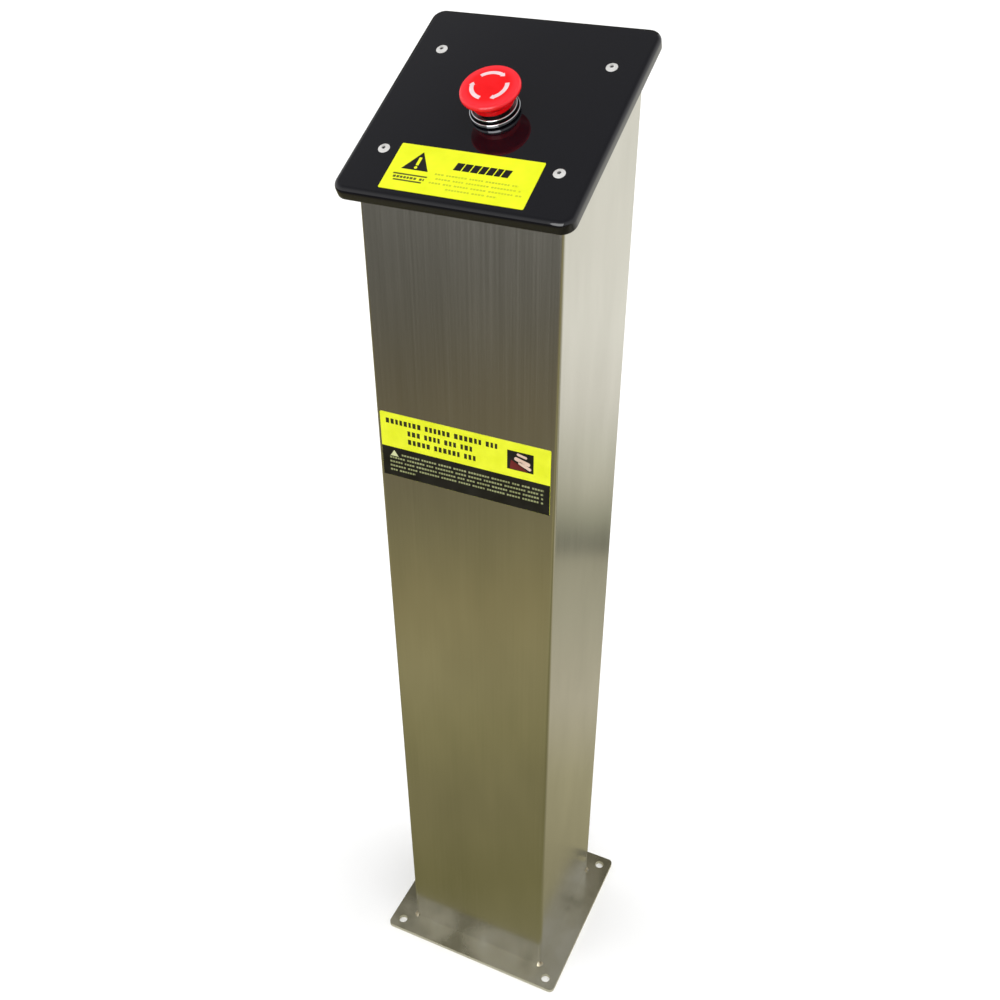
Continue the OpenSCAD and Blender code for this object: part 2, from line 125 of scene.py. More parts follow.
def object_noise(tree, size_mm, detail=3, stretch=(1, 1, 1), roughness=0.55):
    """Noise on Object coordinates whose grain is size_mm, drawn out along an axis by stretch."""
    where = add(tree, "ShaderNodeTexCoord").outputs["Object"]
    scale = [1 / (size_mm * MM * s) for s in stretch]
    placed = add(tree, "ShaderNodeMapping", {"Vector": where, "Scale": scale})
    return add(tree, "ShaderNodeTexNoise", {
        "Vector": placed.outputs[0], "Scale": 1.0, "Detail": detail, "Roughness": roughness}).outputs[0]


def feed(tree, value, shader, socket):
    tree.links.new(value, shader.inputs[socket])


def ramp(tree, factor, stops):
    return add(tree, "ShaderNodeValToRGB", {"Fac": factor}, stops=stops).outputs[0]


def tones(tree, factor, *stops):
    """A colour that follows factor through stops of (place, hex colour)."""
    return ramp(tree, factor, [(at, linear(code)) for at, code in stops])


def gloss(tree, shader, factor, *stops):
    """Gives the shader a roughness that follows factor through stops of (place, roughness)."""
    feed(tree, ramp(tree, factor, [(at, grey(value)) for at, value in stops]), shader, "Roughness")


def calculate(tree, operation, *inputs):
    """A math node's result. inputs are links or numbers, in the order of its sockets."""
    return add(tree, "ShaderNodeMath", dict(enumerate(inputs)), operation=operation).outputs[0]


def combine(tree, operation, output, *inputs):
    """A vector math node's result, taken from the socket that output names."""
    return add(tree, "ShaderNodeVectorMath", dict(enumerate(inputs)), operation=operation).outputs[output]


def mix(tree, share, first, second):
    """first where share is 0, second where it is 1."""
    return add(tree, "ShaderNodeMix", {0: share, 6: first, 7: second}, data_type="RGBA").outputs[2]


def bump(tree, shader, height, depth_mm, strength=1.0):
    """Gives the shader a bump of depth_mm from a height between 0 and 1."""
    made = add(tree, "ShaderNodeBump", {"Height": height, "Distance": depth_mm * MM, "Strength": strength})
    feed(tree, made.outputs[0], shader, "Normal")


# ---- Materials ----

SHEARED_UP_TO = 3.8 * MM
# Where the red cap's rim turns paler in painted sheen: by distance from the button's axis and by height above its
# foot
PAINTED_SHEEN_FROM, PAINTED_SHEEN_TO = 12 * MM, 17.5 * MM
PAINTED_SHEEN_ABOVE, PAINTED_SHEEN_FULLY = 16 * MM, 19 * MM


def brushed_stainless():
    """304 sheet with a fine upright belt grain: soft across the grain, nearly a mirror along it."""
    material, tree, shader = new_material("brushed_304_stainless", Metallic=1.0, Anisotropic=0.55)
    grain = object_noise(tree, 0.7, 4, (1, 1, 220))
    cloud = object_noise(tree, 70, 3, (1, 1, 3))
    mixed = calculate(tree, "MULTIPLY_ADD", grain, 0.35, cloud)
    feed(tree, tones(tree, mixed, (0.45, "#c4c2bb"), (0.9, "#d4d2cc")), shader, "Base Color")
    gloss(tree, shader, grain, (0.3, 0.17), (0.7, 0.24))
    tangent = add(tree, "ShaderNodeTangent", direction_type="RADIAL", axis="Z")
    feed(tree, tangent.outputs[0], shader, "Tangent")
    bump(tree, shader, grain, 0.006, 0.3)
    return material


def foot_plate_steel():
    """Stainless plate left as rolled and wiped: smoky patches, hair scratches, and pale duller
    edges, which are all that lies under SHEARED_UP_TO."""
    material, tree, shader = new_material("rolled_stainless_plate", Metallic=1.0, Anisotropic=0.3)
    smoke = object_noise(tree, 70, 3)
    hair = object_noise(tree, 0.6, 3, (90, 1, 1))
    rolled = tones(tree, smoke, (0.36, "#aba78f"), (0.5, "#dedac2"), (0.66, "#f0edda"))
    where = add(tree, "ShaderNodeTexCoord").outputs["Object"]
    height = add(tree, "ShaderNodeSeparateXYZ", {"Vector": where}).outputs[2]
    edge = calculate(tree, "LESS_THAN", height, SHEARED_UP_TO)
    feed(tree, mix(tree, edge, rolled, linear("#c9c6b4")), shader, "Base Color")
    feed(tree, calculate(tree, "MULTIPLY_ADD", edge, -0.65, 1.0), shader, "Metallic")
    gloss(tree, shader, smoke, (0.3, 0.3), (0.7, 0.2))
    bump(tree, shader, hair, 0.01, 0.4)
    return material


def weld_bead_steel():
    """A bright bead with straw and blue heat tints and small ripples."""
    material, tree, shader = new_material("heat_tinted_weld", Metallic=1.0)
    tint = object_noise(tree, 3, 3)
    ripple = object_noise(tree, 0.8, 2, (1, 1, 0.6))
    colour = tones(tree, tint, (0.3, "#6b5a48"), (0.5, "#b3a98f"), (0.7, "#6d7684"))
    feed(tree, colour, shader, "Base Color")
    gloss(tree, shader, tint, (0.3, 0.3), (0.7, 0.5))
    bump(tree, shader, ripple, 0.2, 0.8)
    return material


def polished_acrylic():
    """Cast black acrylic with polished edges: a clear dark mirror with faint wipe marks and dust."""
    material, tree, shader = new_material("polished_black_acrylic", IOR=1.49)
    wipe = object_noise(tree, 35, 4, (1, 2, 1))
    dust = object_noise(tree, 0.5, 2)
    feed(tree, tones(tree, dust, (0.66, "#0b0b11"), (0.8, "#1c1c22")), shader, "Base Color")
    gloss(tree, shader, wipe, (0.4, 0.025), (0.7, 0.07))
    bump(tree, shader, wipe, 0.02, 0.3)
    return material


def smooth_share(tree, value, start, end):
    """0 below start, 1 above end, and a smooth rise between them."""
    return add(tree, "ShaderNodeMapRange", {"Value": value, "From Min": start, "From Max": end},
               interpolation_type="SMOOTHSTEP").outputs[0]


def moulded_red():
    """Glossy moulded red polyamide: strong even colour, a little light gets under the skin. The cap's rim is
    painted paler as a painted sheen: the share rises with distance from the axis and with height."""
    material, tree, shader = new_material("moulded_red_plastic", IOR=1.5, Subsurface_Weight=0.1,
                                          Subsurface_Scale=0.002, Specular_IOR_Level=0.35)
    flow = object_noise(tree, 9, 3)
    grain = object_noise(tree, 0.35, 2)
    where = add(tree, "ShaderNodeTexCoord").outputs["Object"]
    arm = combine(tree, "SUBTRACT", 0, where, BUTTON_FOOT)
    side = combine(tree, "CROSS_PRODUCT", 0, arm, PANEL_OUT)
    far = smooth_share(tree, combine(tree, "LENGTH", "Value", side), PAINTED_SHEEN_FROM, PAINTED_SHEEN_TO)
    rise = combine(tree, "DOT_PRODUCT", "Value", arm, PANEL_OUT)
    high = smooth_share(tree, rise, PAINTED_SHEEN_ABOVE, PAINTED_SHEEN_FULLY)
    # The paler red on the cap's rim is a painted sheen
    rim = calculate(tree, "MULTIPLY", far, high)
    red = tones(tree, flow, (0.35, "#e8060e"), (0.7, "#f20a14"))
    feed(tree, mix(tree, rim, red, linear("#f22a35")), shader, "Base Color")
    gloss(tree, shader, flow, (0.3, 0.14), (0.7, 0.22))
    bump(tree, shader, grain, 0.01, 0.4)
    return material


def coloured_skin(name, dark, light, low, high, ior, flow_mm, grain_mm, depth_mm, strength):
    """Colour and gloss drift with a slow noise, and a fine one gives the surface its grain."""
    material, tree, shader = new_material(name, IOR=ior)
    flow = object_noise(tree, flow_mm, 3)
    grain = object_noise(tree, grain_mm, 2)
    feed(tree, tones(tree, flow, (0.35, dark), (0.7, light)), shader, "Base Color")
    gloss(tree, shader, flow, (0.3, low), (0.7, high))
    bump(tree, shader, grain, depth_mm, strength)
    return material


def moulded_plastic(name, dark, light, low=0.35, high=0.5):
    """A plain moulded part: slight colour flow, satin skin with fine spark-eroded grain."""
    return coloured_skin(name, dark, light, low, high,
                         ior=1.5, flow_mm=6, grain_mm=0.3, depth_mm=0.02, strength=0.5)


def printed_film(name, dark, light):
    """Laminated vinyl film: flat printed colour under a satin clear layer with a faint orange peel."""
    return coloured_skin(name, dark, light, 0.28, 0.4,
                         ior=1.46, flow_mm=14, grain_mm=1.2, depth_mm=0.01, strength=0.4)


def polished_metal(name, dark, light, low, high, metallic=1.0):
    """Plated or plain metal: small tone changes, light handling marks. Under 1 it is blasted."""
    material, tree, shader = new_material(name, Metallic=metallic)
    tone = object_noise(tree, 5, 3)
    marks = object_noise(tree, 0.4, 3)
    feed(tree, tones(tree, tone, (0.3, dark), (0.7, light)), shader, "Base Color")
    gloss(tree, shader, marks, (0.35, low), (0.75, high))
    bump(tree, shader, marks, 0.008, 0.4)
    return material


finishes = {
    "brushed_stainless": brushed_stainless(),
    "stainless_plate": foot_plate_steel(),
    "weld_metal": weld_bead_steel(),
    "zinc_steel": polished_metal("zinc_plated_steel", "#a9adb3", "#d4d8dc", 0.2, 0.36),
    "black_foam": moulded_plastic("closed_cell_foam", "#141414", "#1f1f1f", 0.8, 0.95),
    "black_acrylic": polished_acrylic(),
    "stainless_screw": polished_metal("satin_stainless", "#dddcd9", "#f0efed", 0.4, 0.55, 0.45),
    "yellow_vinyl": printed_film("yellow_printed_film", "#e2ea06", "#ecf30c"),
    "black_rubber": moulded_plastic("moulded_rubber", "#0d0d0d", "#161616", 0.55, 0.75),
    "brass": polished_metal("plain_brass", "#a8803c", "#d3ac5e", 0.22, 0.38),
    "chrome": polished_metal("bright_chrome", "#d2d5da", "#eceef0", 0.06, 0.14),
    "die_cast": polished_metal("die_cast_zinc", "#85878a", "#a9abae", 0.32, 0.48),
    "black_nylon": moulded_plastic("black_nylon", "#101010", "#1a1a1a"),
    "red_plastic": moulded_red(),
    "white_plastic": moulded_plastic("white_inlay_plastic", "#e4c6ca", "#eed4d7", 0.2, 0.3),
    "spring_steel": polished_metal("drawn_spring_wire", "#77797c", "#a1a3a6", 0.25, 0.4),
    "natural_acetal": moulded_plastic("natural_acetal", "#d9d4c4", "#e9e5d8"),
    "grey_nylon": moulded_plastic("glass_filled_nylon", "#4a4d50", "#5c5f63"),
    "red_acetal": moulded_plastic("red_acetal", "#a81614", "#c02421"),
    "green_acetal": moulded_plastic("green_acetal", "#13803a", "#1f9a4c"),
}
# A dark copy of the chrome: painted shade for the bezel's groove
painted_shade_chrome = polished_metal("painted_shade_chrome", "#1c1d1f", "#2c2d30", 0.2, 0.35)
black_ink = printed_film("black_printed_ink", "#0c0b08", "#15140f")
heading_ink = printed_film("heading_printed_ink", "#26270b", "#333410")
skin_ink = printed_film("warm_pale_ink", "#d9b9a4", "#e6cbb8")
small_ink = printed_film("small_printed_ink", "#8b9060", "#a0a574")
olive_ink = printed_film("olive_printed_ink", "#4a4d12", "#5c5f1a")
faint_ink = printed_film("thin_olive_ink", "#c3cc12", "#b4bd18")
pale_ink = printed_film("pale_printed_ink", "#c9cd9a", "#dfe2b4")
red_ink = printed_film("red_printed_ink", "#5a0a0c", "#74100f")

for part in frame["record"]["subparts"]:
    mesh = NODES[part["node"]].data
    mesh.materials.clear()
    mesh.materials.append(finishes[part["material_slot"]])


# ---- Forms that stand in for plainer solids: panel, head, arrows, bezel and springs ----
# Profiles and outlines are in mm in the panel's plane, and skin turns them into metres.

SHARP_ANGLE = math.radians(35)


def add_piece(name, mesh, body):
    """Puts a mesh into the scene as a piece that rides on a body."""
    piece = bpy.data.objects.new(name, mesh)
    bpy.context.scene.collection.objects.link(piece)
    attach(piece, body)
    return piece


def skin(name, groups, body, materials, stands_for, closed=True):
    """Joins loops of (u, v, w) points in mm into a skin: loop i to loop i + 1, and the last to the
    first where closed. Loops that shrink to a point close an end. Edges over SHARP_ANGLE are sharp."""
    verts, faces = [], []
    for loops in groups:
        start, count = len(verts), len(loops[0])
        for loop in loops:
            verts += [tuple(row) for row in on_panel(np.asarray(loop, float) * MM)]
        for i in range(len(loops) if closed else len(loops) - 1):
            a, b = start + i * count, start + (i + 1) % len(loops) * count
            faces += [(a + k, a + (k + 1) % count, b + (k + 1) % count, b + k) for k in range(count)]
    mesh = bpy.data.meshes.new(name)
    mesh.from_pydata(verts, [], faces)
    welded = bmesh.new()
    welded.from_mesh(mesh)
    bmesh.ops.remove_doubles(welded, verts=welded.verts, dist=1e-7)
    bmesh.ops.recalc_face_normals(welded, faces=welded.faces)
    welded.to_mesh(mesh)
    welded.free()
    mesh.shade_smooth()
    mesh.set_sharp_from_angle(angle=SHARP_ANGLE)
    for material in materials:
        mesh.materials.append(material)
    piece = add_piece(name, mesh, body)
    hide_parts(stands_for)
    return piece


def arc(middle, radius, start, end, count):
    """Points of a round bend in a profile, from one angle to another in degrees."""
    turns = np.radians(np.linspace(start, end, count))
    return [(middle[0] + radius * math.cos(t), middle[1] + radius * math.sin(t)) for t in turns]


def turned(profile, count=120):
    """Loops of a revolved profile of (radius, height) points."""
    turns = np.linspace(0, 2 * math.pi, count, endpoint=False)
    return [np.stack([r * np.cos(turns), r * np.sin(turns), np.full(count, w)], 1) for r, w in profile]


def oblong(half, low_v, high_v, corner, w, steps=14, along=24):
    """A rectangle with round corners in the panel's plane at height w, its sides split evenly."""
    bends = []
    for side_u, side_v, start in ((1, 1, 0), (-1, 1, 90), (-1, -1, 180), (1, -1, 270)):
        middle = (side_u * (half - corner), high_v - corner if side_v > 0 else low_v + corner)
        bends.append(np.array(arc(middle, corner, start, start + 90, steps)))
    loop = []
    for bend, after in zip(bends, bends[1:] + bends[:1]):
        share = np.linspace(0, 1, along)[1:-1, None]
        loop += [bend, bend[-1] + (after[0] - bend[-1]) * share]
    loop = np.vstack(loop)
    return np.column_stack([loop, np.full(len(loop), w)])


LID_HALF, LID_FRONT, LID_BACK = 83.2, -83.2, 90.0
LID_CORNER = 9.5
LID_TOP_BEND, LID_FOOT_BEND = 3.8, 1.0
LID_DEEP, LID_PLATE = 9.2, 6.0
OPERATOR_HOLE = 12.1
# Half width, front, back and corner of the recess that drops over the column
RECESS = (72.9, -68.5, 82.6, 3.4)


def lid_outline(inset, w):
    """The lid's outline at height w, drawn in by inset."""
    return oblong(LID_HALF - inset, LID_FRONT + inset, LID_BACK - inset, LID_CORNER - inset, w)


def panel_loops():
    """The panel as a shallow lid: a flat top with the operator's hole, a round edge, a side wall
    and a recess below that drops over the column."""
    flat_margin = 0.4
    loops = [lid_outline(LID_TOP_BEND + flat_margin, 0)]
    for inset, w in arc((LID_TOP_BEND, -LID_TOP_BEND), LID_TOP_BEND, 90, 180, 11):
        loops.append(lid_outline(inset, w))
    for inset, w in arc((LID_FOOT_BEND, LID_FOOT_BEND - LID_DEEP), LID_FOOT_BEND, 180, 270, 6):
        loops.append(lid_outline(inset, w))
    loops += [oblong(*RECESS, -LID_DEEP), oblong(*RECESS, -LID_PLATE)]
    rim = lid_outline(0, 0)[:, :2]
    hole = rim / np.linalg.norm(rim, axis=1)[:, None] * OPERATOR_HOLE
    for w in (-LID_PLATE, 0):
        loops.append(np.column_stack([hole, np.full(len(rim), w)]))
    return loops


skin("panel_lid", [panel_loops()], "pedestal", [finishes["black_acrylic"]], "panel")

CROWN = 20.0
# The bend at the cap's rim: its middle's height, its radius and its middle's distance from the axis
RIM_H, RIM_R, RIM_X = 17.2, 2.4, 17.5
DOME_R = (RIM_X ** 2 + (CROWN - RIM_H) ** 2 - RIM_R ** 2) / (2 * (CROWN - RIM_H - RIM_R))
WAIST = [(15.5, 12.0), (14.5, 11.0), (14.0, 10.4), (13.95, 9.0), (13.8, 7.7), (13.4, 7.3), (10, 7.3)]
HOLLOW = [(10, 5), (8.6, 5), (8.6, 9.3), (13.2, 14.0), (6.4, 15.4), (6.4, 5)]
STEM_BORE = [(5.03, 5), (5.03, 16), (0, 16)]


def dome(r):
    """Height of the head's cap at radius r: the top of a sphere of radius DOME_R."""
    return CROWN - DOME_R + np.sqrt(DOME_R ** 2 - np.asarray(r, float) ** 2)


def head_profile():
    """Half of the head: cap, rim, waist, hollow underside and the bore for the stem."""
    tip = math.degrees(math.acos(RIM_X / (DOME_R - RIM_R)))
    edge = RIM_X * DOME_R / (DOME_R - RIM_R)
    cap = [(r, float(dome(r))) for r in np.linspace(0, edge, 14)[:-1]]
    return cap + arc((RIM_X, RIM_H), RIM_R, tip, -58, 16) + WAIST + HOLLOW + STEM_BORE


skin("mushroom_head", [turned(head_profile())], "head", [finishes["red_plastic"]],
     "button_head", closed=False)

ARROW_MIDDLE, ARROW_HALF, ARROW_BARB = 11.5, 1.35, 2.05
ARROW_SWEEP, ARROW_POINT = 74, 13
ARROW_PROUD, ARROW_DEPTH, TIP_DEPTH = 0.04, 0.4, 0.1
FIRST_ARROW = 66


def arrow_loops(turn):
    """One arc arrow let into the cap: a band whose clockwise end widens and runs out in a point."""
    spots = [(ARROW_SWEEP + 0.01, 0.0)] + [(a, ARROW_HALF) for a in np.linspace(ARROW_SWEEP, 0, 18)]
    spots += [(-ARROW_POINT * t, ARROW_BARB * (1 - t)) for t in np.linspace(0, 1, 7)]
    across = np.linspace(-1, 1, 5)
    loops = []
    for angle, wide in spots:
        r = ARROW_MIDDLE + wide * across
        c, s = math.cos(math.radians(angle + turn)), math.sin(math.radians(angle + turn))
        upper = np.stack([r * c, r * s, dome(r) + ARROW_PROUD], 1)
        lower = np.stack([r * c, r * s, dome(r) - ARROW_DEPTH], 1)[::-1]
        if wide == 0:
            upper[:, 2] = lower[:, 2] = dome(ARROW_MIDDLE) - TIP_DEPTH
        loops.append(np.vstack([upper, lower]))
    return loops


skin("cap_arrows", [arrow_loops(FIRST_ARROW + 120 * k) for k in range(3)], "head",
     [finishes["white_plastic"]], "arrow_inlays", closed=False)

COLLAR = [(14.15, 1.3)] + arc((14.7, 4.85), 0.55, 180, 0, 9)
GROOVE = [(15.25, 2.7), (15.75, 2.6)]
OUTER_RING = arc((16.25, 2.6), 0.5, 175, 0, 9) + [(16.75, 1.25), (16.5, 1.0), (14.4, 1.0)]
# Groove faces this far from the axis and below this height get the painted shade
SHADED_FROM, SHADED_TO, SHADED_BELOW = 15.1 * MM, 15.8 * MM, 4.6 * MM


def bezel_ring():
    """The chrome ring: a thin collar and a round outer ring, with the groove between them in painted shade."""
    ring = skin("bezel_ring", [turned(COLLAR + GROOVE + OUTER_RING, 144)], "pedestal",
                [finishes["chrome"], painted_shade_chrome], "bezel")
    for face in ring.data.polygons:
        arm = np.array(face.center) - np.array(BUTTON_FOOT)
        away = np.linalg.norm(np.cross(arm, np.array(PANEL_OUT)))
        rise = np.dot(arm, np.array(PANEL_OUT))
        face.material_index = int(SHADED_FROM < away < SHADED_TO and rise < SHADED_BELOW)


bezel_ring()


def working_coil(node):
    """A copy of a spring's coil that stands in for the spring on the pedestal."""
    mesh = NODES[node].data.copy()
    piece = add_piece(node + "_coil", mesh, "pedestal")
    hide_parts(node)
    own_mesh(piece)


working_coil("return_spring")
working_coil("nc_spring")
working_coil("no_spring")


# ---- Printed marks on the two labels ----

PRINT_T = 0.04 * MM
rng = np.random.default_rng(7)


def slabs(name, outlines, place, material):
    """Thin printed shapes: each convex outline is a prism from height 0 to PRINT_T."""
    verts, faces = [], []
    for outline in outlines:
        start = len(verts)
        count = len(outline)
        verts += [(a, b, 0.0) for a, b in outline] + [(a, b, PRINT_T) for a, b in outline]
        faces.append([start + count + i for i in range(count)])
        faces.append([start + i for i in reversed(range(count))])
        for i in range(count):
            k = (i + 1) % count
            faces.append([start + i, start + k, start + count + k, start + count + i])
    mesh = bpy.data.meshes.new(name)
    mesh.from_pydata([tuple(row) for row in place(verts)], [], faces)
    mesh.materials.append(material)
    add_piece(name, mesh, "pedestal")


def lift(place, layers=1):
    """The same place, some print layers higher."""
    return lambda points: place(np.asarray(points, float) + [0, 0, layers * PRINT_T])


def rectangle(x0, x1, y0, y1, slant=0.0):
    """A box between two corners whose top is moved right by slant."""
    return [(x0, y0), (x1, y0), (x1 + slant, y1), (x0 + slant, y1)]


def print_row(x0, x1, y, height, pitch, gap=0.25, word=6, slant=0.0):
    """A row of plain blocks in groups: block widths vary about the pitch, a wide gap ends a group."""
    shortest, wide_gap = 3, pitch * 0.6
    blocks, x, left = [], x0, int(rng.integers(shortest, word + 1))
    while x < x1:
        width = pitch * (1 - gap) * float(rng.uniform(0.75, 1.1))
        blocks.append(rectangle(x, min(x + width, x1), y - height / 2, y + height / 2, slant))
        x += width + pitch * gap
        left -= 1
        if left == 0:
            x += wide_gap
            left = int(rng.integers(shortest, word + 1))
    return blocks


def disc(x, y, radius, count=24):
    """A round outline."""
    return [(x + radius * math.cos(2 * math.pi * i / count),
             y + radius * math.sin(2 * math.pi * i / count)) for i in range(count)]


def capsule(x0, y0, x1, y1, radius, count=10):
    """A bar with round ends between two points."""
    turn = math.atan2(y1 - y0, x1 - x0)
    steps = [math.pi * i / count for i in range(count + 1)]
    return ([(x1 + radius * math.cos(turn - math.pi / 2 + s),
              y1 + radius * math.sin(turn - math.pi / 2 + s)) for s in steps]
            + [(x0 + radius * math.cos(turn + math.pi / 2 + s),
                y0 + radius * math.sin(turn + math.pi / 2 + s)) for s in steps])


def sign_picture(on_sign, x0, x1, y0, y1):
    """A dark square with a red corner and three pale strokes."""
    slabs("sign_picture_ground", [rectangle(x0, x1, y0, y1)], on_sign, black_ink)
    corner = [(x0 + 2 * MM, y0 + 0.5 * MM), (x1 - 4 * MM, y0 + 0.5 * MM),
              (x0 + 9 * MM, y0 + 5 * MM), (x0 + 3 * MM, y0 + 8 * MM)]
    slabs("sign_picture_corner", [corner], lift(on_sign), red_ink)
    strokes = [capsule(x0 + 7 * MM, y0 + 9.5 * MM, x1 - 4 * MM, y0 + 7 * MM, 1.5 * MM),
               capsule(x0 + 10 * MM, y0 + 6.5 * MM, x1 - 3 * MM, y0 + 3.2 * MM, 1.3 * MM),
               capsule(x0 + 8.5 * MM, y1 - 2.2 * MM, x1 - 6 * MM, y1 - 3.6 * MM, 1.0 * MM)]
    slabs("sign_picture_strokes", strokes, lift(on_sign, 2), skin_ink)


def column_sign():
    """The column's label: a heading and a picture on yellow, and small rows on a black band.
    Places in the tables are shares of the label's width and of the height of its part."""
    low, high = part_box("column_label")
    wide, tall = high.x - low.x, high.z - low.z
    split, margin = tall * 0.47, 0.05 * MM
    top = tall - split

    def on_sign(points):
        """Rows of (right, up, out) on the label, from its lower left corner."""
        points = np.asarray(points, float)
        return np.stack([low.x + points[:, 0], low.y - points[:, 2], low.z + points[:, 1]], 1)

    slabs("sign_black_band", [rectangle(margin, wide - margin, margin, split)], on_sign, black_ink)
    heading = []
    for begin, end, level, word in ((0.035, 0.70, 0.77, 8), (0.165, 0.56, 0.51, 5), (0.165, 0.58, 0.26, 10)):
        heading += print_row(wide * begin, wide * end, split + top * level, 4.2 * MM, 3.9 * MM,
                             gap=0.34, word=word)
    slabs("sign_heading_rows", heading, on_sign, heading_ink)
    sign_picture(on_sign, wide * 0.755, wide * 0.905, split + top * 0.22, split + top * 0.76)
    rows = []
    for row, (begin, end) in enumerate([(0.12, 0.965)] + [(0.045, 0.965)] * 3 + [(0.045, 0.2)]):
        rows += print_row(wide * begin, wide * end, split * (0.78 - 0.14 * row), 1.5 * MM, 2.3 * MM, word=8)
    slabs("sign_small_rows", rows, lift(on_sign), small_ink)
    triangle = [(wide * 0.05, split * 0.7), (wide * 0.1, split * 0.7), (wide * 0.075, split * 0.9)]
    slabs("sign_small_triangle", [triangle], lift(on_sign), pale_ink)


def panel_tag():
    """The panel's label: a warning triangle, a slanted heading, a row between bars and small rows.
    Places are shares of the label's width and height."""
    corners = np.array([vertex.co for vertex in NODES["panel_label"].data.vertices])
    corners = (corners - np.array(BUTTON_FOOT)) @ np.array([PANEL_RIGHT, PANEL_UP, PANEL_OUT]).T
    low, high = corners.min(0), corners.max(0)
    wide, tall = high[0] - low[0], high[1] - low[1]

    def on_tag(points):
        """Rows of (right, up, out) on the label, from its lower left corner."""
        return on_panel(np.asarray(points, float) + [low[0], low[1], high[2]])

    triangle = [(wide * 0.085, tall * 0.46), (wide * 0.275, tall * 0.46), (wide * 0.18, tall * 0.86)]
    slabs("tag_triangle", [triangle], on_tag, black_ink)
    mark = [rectangle(wide * 0.17, wide * 0.19, tall * 0.565, tall * 0.74),
            disc(wide * 0.18, tall * 0.515, 1.1 * MM)]
    slabs("tag_triangle_mark", mark, lift(on_tag), finishes["yellow_vinyl"])
    heading = print_row(wide * 0.43, wide * 0.82, tall * 0.66, 6.4 * MM, 5.6 * MM,
                        gap=0.14, word=12, slant=1.2 * MM)
    slabs("tag_heading_row", heading, on_tag, black_ink)
    bars = [rectangle(wide * 0.05, wide * 0.29, tall * 0.33, tall * 0.36),
            rectangle(wide * 0.07, wide * 0.27, tall * 0.20, tall * 0.23)]
    bars += print_row(wide * 0.06, wide * 0.28, tall * 0.28, 1.8 * MM, 2.6 * MM, word=9)
    slabs("tag_frame_bar", bars, on_tag, olive_ink)
    rows = []
    for row, (begin, end) in enumerate([(0.33, 0.9), (0.35, 0.93), (0.32, 0.95), (0.45, 0.8)]):
        rows += print_row(wide * begin, wide * end, tall * (0.44 - 0.095 * row), 1.3 * MM, 2.2 * MM, word=8)
    slabs("tag_small_rows", rows, on_tag, faint_ink)


column_sign()
panel_tag()


# ---- Studio ----

STUDIO_HALF = 6


def floor_material():
    """Pale seamless paper: nearly white, matt, with the faintest mottle."""
    material, tree, shader = new_material("pale_studio_paper", IOR=1.3, Roughness=0.9)
    mottle = object_noise(tree, 180, 3)
    feed(tree, tones(tree, mottle, (0.3, "#f8f8f8"), (0.7, "#fcfcfc")), shader, "Base Color")
    return material


def studio_sheet(name, corners, material):
    """A flat sheet between four corners that belongs to the studio."""
    mesh = bpy.data.meshes.new(name)
    mesh.from_pydata(corners, [], [(0, 1, 2, 3)])
    mesh.materials.append(material)
    sheet = bpy.data.objects.new(name, mesh)
    bpy.context.scene.collection.objects.link(sheet)
    return sheet


def level_sheet(name, height, material):
    """A level sheet as wide as the studio."""
    near, far = -STUDIO_HALF, STUDIO_HALF
    corners = [(near, near, height), (far, near, height), (far, far, height), (near, far, height)]
    return studio_sheet(name, corners, material)


def only_reflected(sheet):
    """Hides a sheet from everything but reflections."""
    sheet.visible_camera = sheet.visible_diffuse = sheet.visible_shadow = False
    sheet.visible_transmission = sheet.visible_volume_scatter = False


def glowing(tree, colour, strength):
    """Makes a cleared material give light of its own."""
    light = add(tree, "ShaderNodeEmission", {"Color": colour, "Strength": strength})
    out = add(tree, "ShaderNodeOutputMaterial")
    tree.links.new(light.outputs[0], out.inputs[0])


# Place along the card in metres, tone seen there
CARD_TONES = [
    (-2.26, "#4f4e49"), (-1.8, "#54524b"), (-1.5, "#585344"), (-1.25, "#605844"), (-1.04, "#645f4a"),
    (-0.914, "#6e694d"), (-0.69, "#807855"), (-0.5, "#837d5b"), (-0.4, "#7d7854"), (-0.275, "#726d4d"),
    (-0.15, "#6a6644"), (0.0, "#747053"), (0.116, "#827d62"), (0.25, "#918c70"), (0.397, "#a39e8b"),
    (0.6, "#969380"), (0.75, "#8f8c79"), (0.757, "#54544a"), (0.85, "#878775"), (0.95, "#a5a393"),
    (1.1, "#b5b4a7"), (1.2, "#bebcb2"), (1.3, "#c5c3ba"), (1.6, "#cfcec6")]
CARD_STRENGTH = 1.6
CARD_HEIGHT = 0.5 * MM
CARD_DIRECTION = (0.46, 1.0, 0.0)


def reflector():
    """A wide level card that shows only in reflections: it tones the steel from dark olive at the
    far front, through a warm middle, to pale grey behind. Its tones run along CARD_DIRECTION."""
    material, tree, _ = new_material("toned_reflector_card")
    tree.nodes.clear()
    where = add(tree, "ShaderNodeTexCoord").outputs["Object"]
    along = combine(tree, "DOT_PRODUCT", "Value", where, CARD_DIRECTION)
    first, last = CARD_TONES[0][0], CARD_TONES[-1][0]
    place = add(tree, "ShaderNodeMapRange", {"Value": along, "From Min": first, "From Max": last}).outputs[0]
    shares = [((at - first) / (last - first), tone) for at, tone in CARD_TONES]
    glowing(tree, tones(tree, place, *shares), CARD_STRENGTH)
    only_reflected(level_sheet("studio_reflector", CARD_HEIGHT, material))


def shade_screen():
    """A dark upright screen far behind on the left that shows only in reflections: it dulls the
    foot plate where the plate looks past the column."""
    material, tree, _ = new_material("dark_screen")
    tree.nodes.clear()
    glowing(tree, linear("#6c685c"), 1.0)
    left, right, behind, foot, top = -5, 0.3, 3, 0.7, 5
    corners = [(left, behind, foot), (right, behind, foot), (right, behind, top), (left, behind, top)]
    only_reflected(studio_sheet("studio_screen", corners, material))


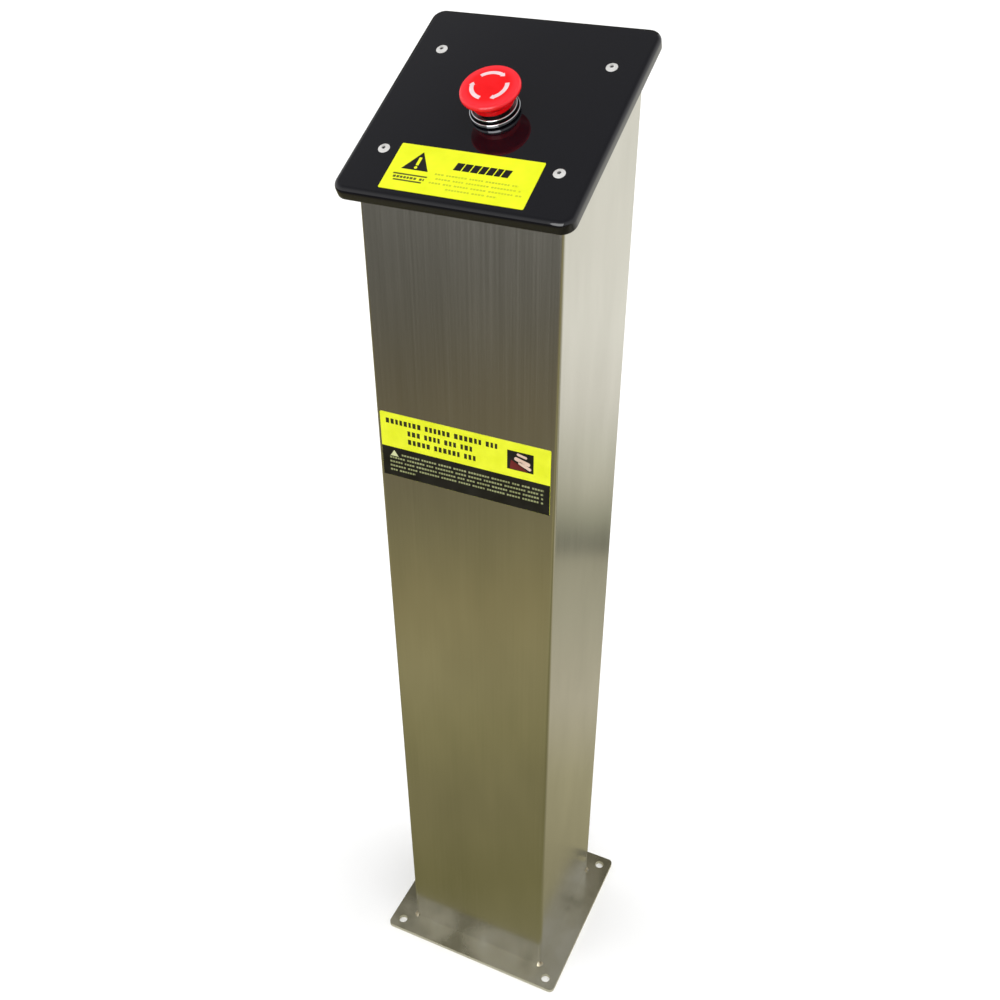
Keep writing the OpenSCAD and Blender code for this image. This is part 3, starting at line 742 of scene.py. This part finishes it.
def sky():
    """Even soft light: full at the horizon, a third as strong overhead."""
    world = bpy.data.worlds.new("soft_room")
    world.use_nodes = True
    tree = world.node_tree
    tree.nodes.clear()
    where = add(tree, "ShaderNodeTexCoord").outputs["Generated"]
    height = add(tree, "ShaderNodeSeparateXYZ", {"Vector": where}).outputs[2]
    tone = ramp(tree, height, [(0.0, grey(1.0)), (0.45, grey(0.9)), (0.85, grey(0.3))])
    back = add(tree, "ShaderNodeBackground", {"Color": tone, "Strength": 1.0})
    out = add(tree, "ShaderNodeOutputWorld")
    tree.links.new(back.outputs[0], out.inputs[0])
    bpy.context.scene.world = world


def add_light(name, kind, energy):
    """An unplaced light: the lamp's settings and its object."""
    lamp = bpy.data.lights.new(name, kind)
    lamp.energy = energy
    light = bpy.data.objects.new(name, lamp)
    bpy.context.scene.collection.objects.link(light)
    return lamp, light


def wide_sun(name, towards, strength, spread):
    """Even light from far away over a wide patch of sky, spread in degrees, left out of reflections."""
    lamp, light = add_light(name, "SUN", strength)
    lamp.angle = math.radians(spread)
    light.rotation_euler = Vector(towards).to_track_quat("Z", "Y").to_euler()
    light.visible_glossy = False


def glint_box(name, place, aim, size, watts):
    """A square soft light at place, turned to aim, that only shows as a reflection."""
    lamp, light = add_light(name, "AREA", watts)
    lamp.size = size
    light.location = place
    light.rotation_euler = (Vector(aim) - Vector(place)).to_track_quat("-Z", "Y").to_euler()
    light.visible_diffuse = light.visible_camera = False


sky()
level_sheet("studio_floor", 0, floor_material())
reflector()
shade_screen()
wide_sun("far_right_sky", (0.75, 0.45, 0.55), 0.9, 70)
wide_sun("far_left_sky", (-0.8, -0.2, 0.6), 0.7, 70)
wide_sun("overhead_sky", (0.1, -0.1, 1), 1.35, 60)
glint_box("front_window", (0.1, -2.4, 1.15), (0, 0, 0.82), 1.8, 50)


def camera():
    """A short-lens view from the front right, from above. The eye stands back from the aim and is
    moved a little in its own picture plane."""
    azimuth, elevation, roll = math.radians(25.2), math.radians(36.85), math.radians(-0.22)
    aim, distance, leftwards, upwards = Vector((0, 0, 0.397)), 0.963, 0.0025, 0.0602
    back = Vector((math.sin(azimuth) * math.cos(elevation),
                   -math.cos(azimuth) * math.cos(elevation), math.sin(elevation)))
    right = Vector((math.cos(azimuth), math.sin(azimuth), 0))
    up = back.cross(right)
    place = aim + back * distance - right * leftwards + up * upwards
    turned_right = right * math.cos(roll) + up * math.sin(roll)
    turned_up = up * math.cos(roll) - right * math.sin(roll)
    lens = bpy.data.cameras.new("studio_camera")
    lens.sensor_width = 36
    lens.lens = 39.25
    lens.shift_y = 0.05
    lens.clip_start = 0.01
    eye = bpy.data.objects.new("studio_camera", lens)
    bpy.context.scene.collection.objects.link(eye)
    turn = Matrix((turned_right, turned_up, back)).transposed().to_4x4()
    eye.matrix_world = Matrix.Translation(place) @ turn
    bpy.context.scene.camera = eye


camera()
bpy.context.scene.view_settings.view_transform = "Standard"

bpy.context.view_layer.update()
